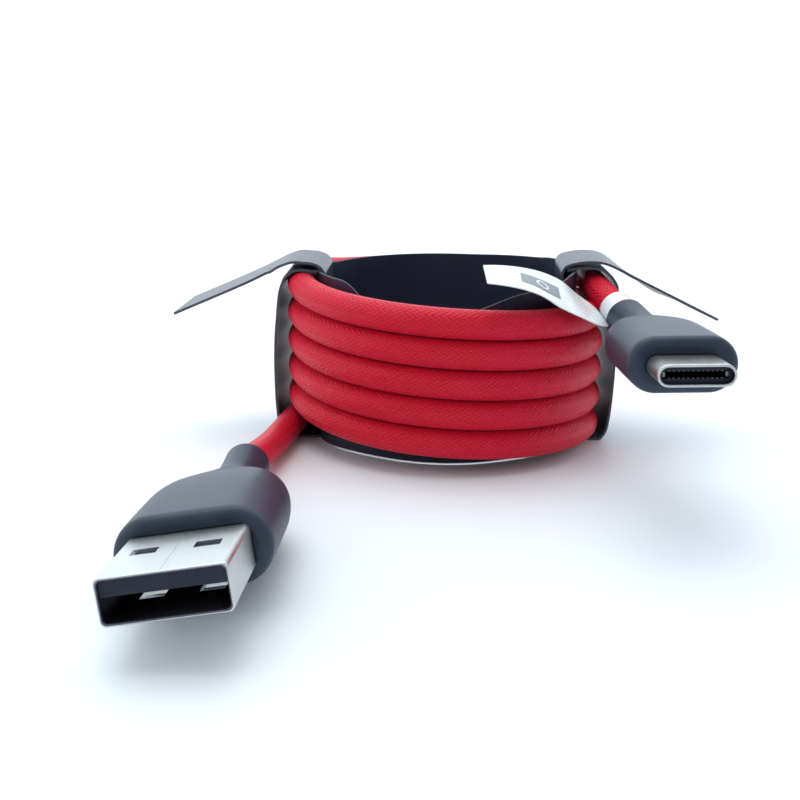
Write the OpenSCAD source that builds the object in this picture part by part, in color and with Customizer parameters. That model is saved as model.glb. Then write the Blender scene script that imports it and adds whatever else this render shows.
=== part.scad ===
// Charging cable: a braided USB-A to USB-C lead, wound on a card collar with two wrap straps.
// Millimetres, +Z up. The origin is on the collar's axis, on the surface that the collar stands on.
// +X runs from the left strap to the right strap, and both plugs point towards -Y.

/* [Cord] */
// diameter over the braid
cord_d = 3.9; // [3.2:0.1:5]
// radius of the winding, to the middle of the cord
coil_r = 20.7; // [18:0.1:30]
// height from one turn to the next
coil_pitch = 4; // [3.4:0.1:5.2]
// whole turns in the round stack
coil_turns = 5; // [3:1:8]

/* [Card collar] */
// thickness of the card
card_t = 0.36; // [0.2:0.02:0.6]
// outside radius of the collar
collar_r = 18.5; // [15:0.1:28]
// height of the collar's back wall
collar_h = 23.4; // [15:0.1:35]
// width of a strap and its tab
strap_w = 11; // [6:0.5:14]
// how far the right strap stands behind the middle
right_strap_y = 1.5; // [-2:0.5:3]
// distance from the axis to a tab's tip
tab_reach = 38.2; // [30:0.1:48]

/* [Label] */
// width of the label's flag
label_w = 6.4; // [4:0.2:9]
// width of the strip that wraps the cord
label_wrap_w = 2.2; // [2:0.2:6]
// thickness of the folded label
label_t = 0.15; // [0.1:0.05:0.4]

/* [USB-A plug] */
// width of the shell
a_shell_w = 12; // [11.9:0.05:12.1]
// height of the shell
a_shell_h = 4.5; // [4.4:0.05:4.6]
// length of shell that stands out of the overmold
a_shell_out = 12.2; // [11.75:0.05:12.5]
// width of the overmold
a_grip_w = 16; // [14:0.1:16.5]
// height of the overmold
a_grip_h = 8.2; // [6.5:0.1:8.8]
// distance from the shell's mouth to the overmold's back
a_grip_end = 36.5; // [30:0.5:45]
// diameter of the strain relief
a_neck_d = 5.6; // [4.6:0.1:7]
// length of the strain relief
a_neck_len = 10.5; // [6:0.5:16]

/* [USB-C plug] */
// width of the shell
c_shell_w = 8.25; // [8.2:0.01:8.3]
// height of the shell
c_shell_h = 2.4; // [2.35:0.01:2.45]
// length of shell that stands out of the overmold
c_shell_out = 6.65; // [6.4:0.05:6.9]
// width of the overmold
c_grip_w = 12.3; // [10.5:0.05:12.35]
// height of the overmold
c_grip_h = 6.4; // [5:0.1:6.5]
// distance from the shell's mouth to the overmold's back
c_grip_end = 30; // [24:0.5:36]
// diameter of the strain relief
c_neck_d = 5.5; // [4.6:0.1:7]
// length of the strain relief
c_neck_len = 9.3; // [6:0.1:16]

/* [Hidden] */
$fn = 64;

// colours
red_braid = [0.78, 0.05, 0.1];
black_card = [0.1, 0.11, 0.13];
soft_black = [0.13, 0.15, 0.19];
nickel = [0.8, 0.8, 0.78];
dark_plastic = [0.06, 0.07, 0.09];
gold = [0.85, 0.68, 0.3];
white_paper = [0.95, 0.95, 0.95];
clear_mould = [0.85, 0.84, 0.78];
board_green = [0.05, 0.3, 0.15];
wire_red = [0.75, 0.05, 0.05];
wire_white = [0.9, 0.9, 0.9];
wire_green = [0.05, 0.45, 0.15];
wire_black = [0.05, 0.05, 0.05];

// the gap that keeps two faces apart, and the extra length of a cutting tool
slack = 0.04;
over = 1;

// Where each plug stands: the middle of the shell's mouth, then pitch, roll and yaw in degrees.
// A plug is drawn with its mouth at y = 0, its body towards +Y and its width along X.
a_place = [-23.8, -75.5, 7.4];
a_turn = [-5.6, -9, 0.6];
c_place = [26.2, -49, 21.2];
c_turn = [-4.6, -1.5, 1.2];

// A neck bends by this many degrees, towards the side that the tilt gives (0 is -X, 90 is up).
a_neck_bend = 9;
a_neck_tilt = 99;
c_neck_bend = 20;
c_neck_tilt = 52;

function unit(v) = v / norm(v);
function spin_x(v, a) = [v.x, v.y * cos(a) - v.z * sin(a), v.y * sin(a) + v.z * cos(a)];
function spin_y(v, a) = [v.x * cos(a) + v.z * sin(a), v.y, v.z * cos(a) - v.x * sin(a)];
function spin_z(v, a) = [v.x * cos(a) - v.y * sin(a), v.x * sin(a) + v.y * cos(a), v.z];
function at_plug(v, place, turn) = place + spin_z(spin_x(spin_y(v, turn.y), turn.x), turn.z);
function bend_r(length, bend) = length * 180 / (PI * bend);
function bend_end(length, bend, tilt) =
    let (r = bend_r(length, bend))
    spin_y([r * (cos(bend) - 1), r * sin(bend), 0], tilt);

// The coil winds clockwise seen from above. s is the angle wound since the cord joined the stack
// at the left. Each turn lies level round the back and climbs one pitch along the front.
coil_base = card_t + slack + cord_d / 2;
function coil_z(s) =
    let (turn = floor(s / 360), part = s - 360 * turn)
    coil_base + coil_pitch * (turn + max(part - 180, 0) / 180);
function coil_point(s) = [coil_r * cos(180 - s), coil_r * sin(180 - s), coil_z(s)];

// Round the back, the last half turn slips outwards and down, over the turn below it.
slip_angle = 58;
function eased(t) = t * t * (3 - 2 * t);
function top_point(s) =
    let (
        t = (s - 360 * coil_turns) / 180,
        slip = t <= 0 ? 0 : slip_angle * eased(min(1, min(t, 1 - t) / 0.3)),
        r = coil_r + coil_pitch * sin(slip),
        drop = coil_pitch * (1 - cos(slip))
    )
    [r * cos(180 - s), r * sin(180 - s), coil_z(s) - drop];
top_turn_start = 360 * coil_turns - 150;
top_turn_end = 360 * coil_turns + 165;
ring_step = 15;

// the straight runs between the coil and each strain relief
a_neck_end = at_plug([0, a_grip_end, 0] + bend_end(a_neck_len, a_neck_bend, a_neck_tilt), a_place, a_turn);
c_neck_end = at_plug([0, c_grip_end, 0] + bend_end(c_neck_len, c_neck_bend, c_neck_tilt), c_place, c_turn);
usb_a_route = [
    a_neck_end, [-24, -25, 3.3], [-23.5, -20, 2.55], [-22.9, -14.5, 2.15], [-22.2, -8.5, 2.1],
    [-21.4, -3, 2.25], [-20.6, 2.4, 2.35]
];
usb_c_route = [
    for (s = [top_turn_start:ring_step:top_turn_end]) top_point(s),
    [20.8, 1.8, 22.35], [20.97, -1.4, 22.2], [21.52, -4.2, 21.72], [22.52, -6.6, 20.95],
    [23.65, -8.4, 20], c_neck_end
];

// The label hangs on the run into the USB-C plug, and its Y axis lies along the cord.
label_place = [23.6, -8.54, 20.01];
label_turn = [18.5, 0, 24];
label_loop_r = cord_d / 2 + 0.23;
label_bend_r = 27;
label_root = [-1.68, -1.58];
label_slope = 48;
label_neck_bend = 6;
label_flag_bend = 38;

// strap and tab profiles in the XZ plane, as the middle line of the card, on the right-hand side
strap_floor = card_t / 2;
left_strap_line = [
    [17.5, 24.25], [19, 24.6], [20.7, 24.65], [22.1, 24.15], [23.1, 22.9], [23.9, 20.5],
    [24.5, 16], [24.7, 11.4], [24.65, 7], [24.5, 4], [24.2, 2], [23.5, 0.6],
    [22.5, strap_floor], [17.5, strap_floor], [16.9, 0.7], [16.9, 23.6]
];
right_strap_line = [
    [16.9, 24.6], [18.5, 24.9], [20.5, 24.95], [22.3, 24.5], [23.6, 23.3], [24.2, 21.6],
    [24.5, 16], [24.5, 10.4], [24.3, 5.3], [23.9, 1.8], [23.2, 0.5],
    [22.3, strap_floor], [16.8, strap_floor], [16.25, 0.7], [16.25, 23.98]
];
left_tab_line = [
    [16.9, 23.8], [17.4, 24.65], [18.5, 25.15], [19.9, 25.3], [22.3, 25.1], [28, 22.3], [tab_reach, 17.8]
];
right_tab_line = [
    [16.25, 24.2], [16.7, 25.1], [18.3, 25.6], [20.6, 25.8], [22.8, 25.4], [27, 23.4], [tab_reach, 18]
];
tab_slant = 0.8;

// the collar's top edge: the height at each X, along the front wall and along the back wall
collar_left_h = 24.15;
collar_right_h = 24.4;
front_edge = [
    [-20, collar_left_h], [-14.1, collar_left_h], [-13.2, 24], [-12.4, 23.45], [-11.5, 22.7],
    [-10.6, 21.8], [-9.8, 21.1], [3, 21.1], [4.9, 21.7], [7.1, 22.5], [8.4, 22.9], [9.9, 23.25],
    [12, 23.5], [14.3, 23.7], [15.6, 23.85], [16.6, 24.15], [17.3, collar_right_h], [20, collar_right_h]
];
back_edge = [
    [-20, collar_left_h], [-17.4, collar_left_h], [-16.8, 23.5], [-14, collar_h], [6, collar_h],
    [11.4, 23.75], [14, 24], [16.2, collar_right_h], [20, collar_right_h]
];

// USB-A parts
a_wall = 0.3;
a_shell_len = 18.8;
a_block_w = a_shell_w - 2 * a_wall;
a_block_h = a_shell_h - 2 * a_wall;
a_tongue_under = 0.4;
a_tongue_front = 0.4;
a_tongue_end = 12;
a_block_end = 17;
a_window = [2.5, 1.8];
a_window_x = 3;
a_window_y = 6.1;
a_contact_w = 1;
a_contact_z = [0.3, 0.5];
a_contact_end = 20.5;
a_power_x = 3.5;
a_data_x = 1;
a_power_front = 1.1;
a_data_front = 2.1;
a_mould_end = 31;
a_mould = [10.4, 3.8];
a_crimp_len = 3;
crimp_d = 4.9;

// USB-C parts
c_wall = 0.3;
c_shell_len = 10;
c_core_w = c_shell_w - 2 * c_wall;
c_core_h = c_shell_h - 2 * c_wall;
c_core_front = 0.9;
c_core_end = 9.5;
c_slot = [6.9, 0.9];
c_slot_end = 5.6;
c_pins = 12;
c_pin_pitch = 0.5;
c_pin_w = 0.25;
c_pin_z = [0.33, 0.55];
c_pin_front = 1;
c_pin_end = 11.8;
c_latch_out = 3.45;
c_latch_t = 0.3;
c_latch_front = 1.2;
c_board_start = 10.5;
c_board_end = 17.5;
c_board_w = 8.4;
c_can = [9.6, 4.4];
c_can_t = 0.2;
c_can_start = 8.5;
c_can_end = 18.5;
c_mould = [8.6, 3.8];
c_mould_start = 17.6;
c_mould_end = 24;
c_crimp_len = 3;
c_wire_start = 16.6;

wire_d = 0.7;
wire_spread = 0.65;

// shared shapes

module stand(place, turn) {
    translate(place) rotate([0, 0, turn.z]) rotate([turn.x, 0, 0]) rotate([0, turn.y, 0]) children();
}

module at_usb_a() {
    stand(a_place, a_turn) children();
}

module at_usb_c() {
    stand(c_place, c_turn) children();
}

// a flat outline in XZ, drawn out along +Y from one depth to another
module along_y(from, to) {
    translate([0, to, 0]) rotate([90, 0, 0]) linear_extrude(to - from) children();
}

module slab(w, h, from, to) {
    along_y(from, to) square([w, h], center = true);
}

module stadium(w, h) {
    square([w - h, h], center = true);
    for (side = [-1, 1])
        translate([side * (w - h) / 2, 0]) circle(d = h);
}

module rounded_box(w, h, r) {
    square([w - 2 * r, h], center = true);
    square([w, h - 2 * r], center = true);
    for (x = [-1, 1], z = [-1, 1])
        translate([x * (w / 2 - r), z * (h / 2 - r)]) circle(r);
}

module rod_y(d, from, to) {
    along_y(from, to) circle(d = d);
}

module rod(a, b, d) {
    run = b - a;
    translate(a)
        rotate([0, acos(run.z / norm(run)), atan2(run.y, run.x)])
            cylinder(d = d, h = norm(run));
}

// a round bar that starts along +Y at the origin and bends towards the tilt
module bent_bar(d, length, bend, tilt) {
    r = bend_r(length, bend);
    rotate([0, tilt, 0]) translate([-r, 0, 0])
        rotate_extrude(angle = bend) translate([r, 0]) circle(d = d);
}

function ring_at(path, i, r, sides) =
    let (
        dir = unit(path[min(i + 1, len(path) - 1)] - path[max(i - 1, 0)]),
        side = unit(cross(dir, [0, 0, 1])),
        up = cross(side, dir)
    )
    [for (k = [0:sides - 1]) path[i] + r * (cos(360 * k / sides) * side + sin(360 * k / sides) * up)];

module tube(path, d, sides = 8) {
    last = len(path) - 1;
    points = [for (i = [0:last]) each ring_at(path, i, d / 2, sides)];
    walls = [
        for (i = [0:last - 1], k = [0:sides - 1])
            let (a = i * sides + k, b = i * sides + (k + 1) % sides)
            each [[a, b, b + sides], [a, b + sides, a + sides]]
    ];
    start_cap = [for (k = [sides - 1:-1:0]) k];
    end_cap = [for (k = [0:sides - 1]) last * sides + k];
    polyhedron(points, concat(walls, [start_cap, end_cap]));
}

// a band of card: its middle line thickened to both sides
function line_side(line, i) =
    let (dir = unit(line[min(i + 1, len(line) - 1)] - line[max(i - 1, 0)]))
    [-dir.y, dir.x];

module band(line, t) {
    last = len(line) - 1;
    polygon(concat(
        [for (i = [0:last]) line[i] + line_side(line, i) * t / 2],
        [for (i = [last:-1:0]) line[i] - line_side(line, i) * t / 2]
    ));
}

// half the outline of an overmold: straight sides, then a rounded shoulder in to the neck
shoulder_steps = [
    [0, 1], [0.2, 0.97], [0.38, 0.88], [0.53, 0.77], [0.67, 0.63], [0.79, 0.46], [0.9, 0.24], [1, 0]
];
function shoulder(half, neck_half, start, from, to) = [
    [half, start],
    for (step = shoulder_steps) [neck_half + (half - neck_half) * step.y, from + (to - from) * step.x]
];

module grip_outline(half, neck_half, start, from, to) {
    edge = shoulder(half, neck_half, start, from, to);
    last = len(edge) - 1;
    polygon(concat(edge, [for (i = [last:-1:0]) [-edge[i].x, edge[i].y]]));
}

// an overmold: a stadium in front view, with rounded shoulders in plan and in side view
module grip(w, h, neck_d, start, from, to) {
    intersection() {
        along_y(start, to) stadium(w, h);
        translate([0, 0, -h]) linear_extrude(2 * h)
            grip_outline(w / 2, neck_d / 2, start, from, to);
        translate([-w, 0, 0]) rotate([0, 90, 0]) linear_extrude(2 * w)
            grip_outline(h / 2, neck_d / 2, start, from, to);
    }
}

// cord

module cord_coil() {
    color(red_braid) rotate_extrude() {
        for (k = [0:coil_turns - 1])
            translate([coil_r, coil_base + k * coil_pitch]) circle(d = cord_d);
        translate([coil_r - cord_d * 0.4, coil_base])
            square([cord_d * 0.8, (coil_turns - 1) * coil_pitch]);
    }
}

module usb_a_tail() {
    color(red_braid) tube(usb_a_route, cord_d);
}

module usb_c_tail() {
    color(red_braid) tube(usb_c_route, cord_d);
}

module usb_a_cord_end() {
    color(red_braid) at_usb_a() {
        rod_y(cord_d - slack, a_mould_end, a_grip_end + 0.1);
        translate([0, a_grip_end, 0]) bent_bar(cord_d, a_neck_len, a_neck_bend, a_neck_tilt);
    }
}

module usb_c_cord_end() {
    color(red_braid) at_usb_c() {
        rod_y(cord_d - slack, c_mould_end, c_grip_end + 0.1);
        translate([0, c_grip_end, 0]) bent_bar(cord_d, c_neck_len, c_neck_bend, c_neck_tilt);
    }
}

// card collar

module above_edge(edge, from, to) {
    along_y(from, to)
        polygon(concat(edge, [[edge[len(edge) - 1].x, collar_h + 5], [edge[0].x, collar_h + 5]]));
}

module collar_ring() {
    notch_h = card_t + slack;
    color(black_card) difference() {
        cylinder(r = collar_r, h = collar_right_h);
        translate([0, 0, -over]) cylinder(r = collar_r - card_t, h = collar_right_h + 2 * over);
        above_edge(front_edge, -collar_r - over, 0);
        above_edge(back_edge, 0, collar_r + over);
        translate([-collar_r - over, -strap_w / 2 - slack, -over])
            cube([collar_r, strap_w + 2 * slack, notch_h + over]);
        translate([over, right_strap_y - strap_w / 2 - slack, -over])
            cube([collar_r, strap_w + 2 * slack, notch_h + over]);
    }
}

module strap_run(line) {
    along_y(-strap_w / 2, strap_w / 2) band(line, card_t);
}

// a tab's end is cut a little aslant, so that its near edge is the longer one
module tab(line) {
    difference() {
        strap_run(line);
        linear_extrude(2 * collar_h)
            polygon([
                [tab_reach + tab_slant / 2, -strap_w],
                [tab_reach - tab_slant * 3 / 2, strap_w],
                [tab_reach + over, strap_w],
                [tab_reach + over, -strap_w]
            ]);
    }
}

module left_strap() {
    color(black_card) mirror([1, 0, 0]) strap_run(left_strap_line);
}

module right_strap() {
    color(black_card) translate([0, right_strap_y, 0]) strap_run(right_strap_line);
}

module left_tab() {
    color(black_card) mirror([1, 0, 0]) tab(left_tab_line);
}

module right_tab() {
    color(black_card) translate([0, right_strap_y, 0]) tab(right_tab_line);
}

// label: a loop round the cord, and a flag that arches away from it

module label_arc(start, bend, w, t) {
    r = label_bend_r;
    translate([label_root.x, 0, label_root.y])
        rotate([0, label_slope, 0]) translate([0, 0, -r]) rotate([0, -start, 0])
            translate([0, w / 2, 0]) rotate([90, 0, 0]) rotate([0, 0, 90])
                rotate_extrude(angle = bend) translate([r - t / 2, 0]) square([t, w]);
}

module label() {
    color(white_paper) stand(label_place, label_turn) {
        difference() {
            rod_y(2 * label_loop_r + 2 * label_t, -label_wrap_w / 2, label_wrap_w / 2);
            rod_y(2 * label_loop_r, -label_wrap_w / 2 - over, label_wrap_w / 2 + over);
        }
        label_arc(0, label_neck_bend, label_wrap_w, label_t - slack);
        label_arc(label_neck_bend - 0.5, label_flag_bend + 0.5, label_w, label_t);
    }
}

// USB-A plug

// the power wires lie on top of their contacts, and the data wires lie under theirs
module a_wire(x, end_x, side) {
    start_z = side > 0 ? a_contact_z[1] + wire_d / 2 : a_contact_z[0] - wire_d / 2;
    at_usb_a()
        rod([x, a_block_end + 1.5, start_z], [end_x, a_mould_end, side * wire_spread], wire_d);
}

module a_contact(x, front) {
    at_usb_a() translate([x - a_contact_w / 2, front, a_contact_z[0]])
        cube([a_contact_w, a_contact_end - front, a_contact_z[1] - a_contact_z[0]]);
}

module a_contacts() {
    for (x = [-a_power_x, a_power_x])
        a_contact(x, a_power_front);
    for (x = [-a_data_x, a_data_x])
        a_contact(x, a_data_front);
}

module a_wires() {
    a_wire(-a_power_x, -wire_spread, 1);
    a_wire(-a_data_x, -wire_spread, -1);
    a_wire(a_data_x, wire_spread, -1);
    a_wire(a_power_x, wire_spread, 1);
}

module usb_a_overmold() {
    color(soft_black) at_usb_a() difference() {
        grip(a_grip_w, a_grip_h, a_neck_d, a_shell_out, a_grip_end - 10.5, a_grip_end);
        along_y(0, a_shell_len) rounded_box(a_shell_w, a_shell_h, 0.5);
        slab(a_mould[0], a_mould[1], a_shell_len - over, a_mould_end);
        rod_y(crimp_d, a_mould_end - over, a_mould_end + a_crimp_len);
        rod_y(cord_d, a_mould_end, a_grip_end + over);
    }
}

module usb_a_strain_relief() {
    color(soft_black) at_usb_a() translate([0, a_grip_end, 0]) difference() {
        bent_bar(a_neck_d, a_neck_len, a_neck_bend, a_neck_tilt);
        bent_bar(cord_d, a_neck_len, a_neck_bend, a_neck_tilt);
    }
}

module usb_a_shell() {
    color(nickel) at_usb_a() difference() {
        along_y(0, a_shell_len) rounded_box(a_shell_w, a_shell_h, 0.5);
        slab(a_block_w, a_block_h, -over, a_shell_len + over);
        for (x = [-a_window_x, a_window_x])
            translate([x - a_window[0] / 2, a_window_y, -a_shell_h])
                cube([a_window[0], a_window[1], 2 * a_shell_h]);
    }
}

module usb_a_insulator() {
    tongue_top = a_block_h / 2;
    color(dark_plastic) difference() {
        at_usb_a() {
            translate([-a_block_w / 2, a_tongue_front, a_tongue_under])
                cube([a_block_w, a_tongue_end, tongue_top - a_tongue_under]);
            slab(a_block_w, a_block_h, a_tongue_end, a_block_end);
        }
        a_contacts();
    }
}

module usb_a_vbus_contact() {
    color(gold) a_contact(-a_power_x, a_power_front);
}

module usb_a_data_minus_contact() {
    color(gold) a_contact(-a_data_x, a_data_front);
}

module usb_a_data_plus_contact() {
    color(gold) a_contact(a_data_x, a_data_front);
}

module usb_a_ground_contact() {
    color(gold) a_contact(a_power_x, a_power_front);
}

module usb_a_inner_mould() {
    color(clear_mould) difference() {
        at_usb_a() slab(a_mould[0], a_mould[1], a_block_end, a_mould_end);
        a_contacts();
        a_wires();
    }
}

module usb_a_crimp_ring() {
    color(nickel) at_usb_a() difference() {
        rod_y(crimp_d, a_mould_end, a_mould_end + a_crimp_len);
        rod_y(cord_d, a_mould_end - over, a_mould_end + a_crimp_len + over);
    }
}

module usb_a_red_wire() {
    color(wire_red) a_wire(-a_power_x, -wire_spread, 1);
}

module usb_a_white_wire() {
    color(wire_white) a_wire(-a_data_x, -wire_spread, -1);
}

module usb_a_green_wire() {
    color(wire_green) a_wire(a_data_x, wire_spread, -1);
}

module usb_a_black_wire() {
    color(wire_black) a_wire(a_power_x, wire_spread, 1);
}

// USB-C plug

// the power wires lie on top of the board, and the data wires lie under it
module c_wire(x, end_x, side) {
    start_z = side * (c_pin_z[0] + wire_d / 2);
    at_usb_c()
        rod([x, c_wire_start, start_z], [end_x, c_mould_end, side * wire_spread], wire_d);
}

module c_wires() {
    c_wire(-3, -wire_spread, 1);
    c_wire(-1, -wire_spread, -1);
    c_wire(1, wire_spread, -1);
    c_wire(3, wire_spread, 1);
}

module c_pin_row() {
    for (k = [0:c_pins - 1])
        translate([(k - (c_pins - 1) / 2) * c_pin_pitch - c_pin_w / 2, c_pin_front, c_pin_z[0]])
            cube([c_pin_w, c_pin_end - c_pin_front, c_pin_z[1] - c_pin_z[0]]);
}

module c_latch() {
    for (side = [-1, 1])
        translate([side * (c_latch_out - c_latch_t / 2), 0, 0])
            slab(c_latch_t, 0.5, c_latch_front, c_board_start);
    slab(2 * c_latch_out, 0.5, c_core_end - 0.8, c_board_start);
}

module usb_c_overmold() {
    color(soft_black) at_usb_c() difference() {
        grip(c_grip_w, c_grip_h, c_neck_d, c_shell_out, c_grip_end - 7, c_grip_end);
        along_y(0, c_can_start + over) stadium(c_shell_w, c_shell_h);
        slab(c_can[0], c_can[1], c_can_start, c_can_end);
        slab(c_mould[0], c_mould[1], c_can_end - over, c_mould_end);
        rod_y(crimp_d, c_mould_end - over, c_mould_end + c_crimp_len);
        rod_y(cord_d, c_mould_end, c_grip_end + over);
    }
}

module usb_c_strain_relief() {
    color(soft_black) at_usb_c() translate([0, c_grip_end, 0]) difference() {
        bent_bar(c_neck_d, c_neck_len, c_neck_bend, c_neck_tilt);
        bent_bar(cord_d, c_neck_len, c_neck_bend, c_neck_tilt);
    }
}

module usb_c_shell() {
    color(nickel) at_usb_c() difference() {
        along_y(0, c_shell_len) stadium(c_shell_w, c_shell_h);
        along_y(-over, c_shell_len + over) stadium(c_core_w, c_core_h);
    }
}

module usb_c_insulator() {
    color(dark_plastic) at_usb_c() difference() {
        along_y(c_core_front, c_core_end) stadium(c_core_w, c_core_h);
        slab(c_slot[0], c_slot[1], -over, c_slot_end);
        c_pin_row();
        mirror([0, 0, 1]) c_pin_row();
        c_latch();
    }
}

module usb_c_upper_contacts() {
    color(gold) at_usb_c() c_pin_row();
}

module usb_c_lower_contacts() {
    color(gold) at_usb_c() mirror([0, 0, 1]) c_pin_row();
}

module usb_c_latch_plate() {
    color(nickel) at_usb_c() c_latch();
}

module usb_c_paddle_board() {
    color(board_green) at_usb_c()
        slab(c_board_w, 2 * c_pin_z[0], c_board_start, c_board_end);
}

module usb_c_pull_up_resistor() {
    color(wire_black) at_usb_c()
        translate([-2, 13.4, c_pin_z[0]]) cube([1, 0.5, 0.35]);
}

module usb_c_shield_can() {
    color(nickel) at_usb_c() difference() {
        slab(c_can[0], c_can[1], c_can_start, c_can_end);
        slab(c_can[0] - 2 * c_can_t, c_can[1] - 2 * c_can_t, c_can_start + c_can_t, c_can_end + over);
        along_y(c_can_start - over, c_can_end) stadium(c_shell_w, c_shell_h);
    }
}

module usb_c_inner_mould() {
    color(clear_mould) difference() {
        at_usb_c() slab(c_mould[0], c_mould[1], c_mould_start, c_mould_end);
        c_wires();
    }
}

module usb_c_crimp_ring() {
    color(nickel) at_usb_c() difference() {
        rod_y(crimp_d, c_mould_end, c_mould_end + c_crimp_len);
        rod_y(cord_d, c_mould_end - over, c_mould_end + c_crimp_len + over);
    }
}

module usb_c_red_wire() {
    color(wire_red) c_wire(-3, -wire_spread, 1);
}

module usb_c_white_wire() {
    color(wire_white) c_wire(-1, -wire_spread, -1);
}

module usb_c_green_wire() {
    color(wire_green) c_wire(1, wire_spread, -1);
}

module usb_c_black_wire() {
    color(wire_black) c_wire(3, wire_spread, 1);
}

cord_coil();
usb_a_tail();
usb_c_tail();
usb_a_cord_end();
usb_c_cord_end();
collar_ring();
left_strap();
right_strap();
left_tab();
right_tab();
label();
usb_a_overmold();
usb_a_strain_relief();
usb_a_shell();
usb_a_insulator();
usb_a_vbus_contact();
usb_a_data_minus_contact();
usb_a_data_plus_contact();
usb_a_ground_contact();
usb_a_inner_mould();
usb_a_crimp_ring();
usb_a_red_wire();
usb_a_white_wire();
usb_a_green_wire();
usb_a_black_wire();
usb_c_overmold();
usb_c_strain_relief();
usb_c_shell();
usb_c_insulator();
usb_c_upper_contacts();
usb_c_lower_contacts();
usb_c_latch_plate();
usb_c_paddle_board();
usb_c_pull_up_resistor();
usb_c_shield_can();
usb_c_inner_mould();
usb_c_crimp_ring();
usb_c_red_wire();
usb_c_white_wire();
usb_c_green_wire();
usb_c_black_wire();
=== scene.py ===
"""A braided USB-A to USB-C charging cable, wound on a black card collar. Metres, +Z up."""

import math

import bmesh
import bpy
from mathutils import Matrix, Vector


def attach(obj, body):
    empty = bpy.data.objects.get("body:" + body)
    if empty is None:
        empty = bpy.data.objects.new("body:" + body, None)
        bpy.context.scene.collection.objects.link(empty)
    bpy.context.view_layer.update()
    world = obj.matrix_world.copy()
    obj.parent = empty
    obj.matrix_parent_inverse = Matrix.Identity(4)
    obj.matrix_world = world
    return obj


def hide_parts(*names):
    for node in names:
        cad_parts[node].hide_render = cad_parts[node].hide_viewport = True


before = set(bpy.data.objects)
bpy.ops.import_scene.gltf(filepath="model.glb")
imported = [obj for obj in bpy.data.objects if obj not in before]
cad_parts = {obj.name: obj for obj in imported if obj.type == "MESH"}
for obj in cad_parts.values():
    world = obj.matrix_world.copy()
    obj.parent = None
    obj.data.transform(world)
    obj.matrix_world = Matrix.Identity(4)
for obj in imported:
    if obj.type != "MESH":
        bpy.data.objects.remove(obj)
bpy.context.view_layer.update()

MM = 0.001
ROOT = "cable_and_collar"
SCENE = bpy.context.scene


def turn(degrees, axis):
    """A rotation about one axis."""
    return Matrix.Rotation(math.radians(degrees), 4, axis)


def add_to_scene(name, data):
    """A new object in the scene's own collection."""
    made = bpy.data.objects.new(name, data)
    SCENE.collection.objects.link(made)
    return made


# ---------------------------------------------------------------- camera

SENSOR_WIDTH = 36.0
FIELD_OF_VIEW = 37.15
CAMERA_PLACE = (0, -0.1691, 0.0515)
CAMERA_YAW, CAMERA_PITCH, CAMERA_ROLL = 2.157, -15.58, -0.6

camera = add_to_scene("camera", bpy.data.cameras.new("camera"))
camera.data.sensor_width = SENSOR_WIDTH
camera.data.lens = SENSOR_WIDTH / 2 / math.tan(math.radians(FIELD_OF_VIEW) / 2)
camera.data.clip_start, camera.data.clip_end = 0.005, 20
camera.matrix_world = (
    Matrix.Translation(CAMERA_PLACE)
    @ turn(CAMERA_YAW, "Z")
    @ turn(CAMERA_PITCH, "X")
    @ turn(CAMERA_ROLL, "Y")
    @ turn(90, "X")
)
SCENE.camera = camera


# ---------------------------------------------------------------- frames of the plugs


def local_frame(place, pitch, roll, yaw):
    """A plug's frame has its mouth at the origin, its body towards +Y and its width along X."""
    moved = Matrix.Translation(Vector(place) * MM)
    return moved @ turn(yaw, "Z") @ turn(pitch, "X") @ turn(roll, "Y")


A = local_frame((-23.8, -75.5, 7.4), pitch=-5.6, roll=-9, yaw=0.6)
C = local_frame((26.2, -49, 21.2), pitch=-4.6, roll=-1.5, yaw=1.2)


# ---------------------------------------------------------------- shader helpers


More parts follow.
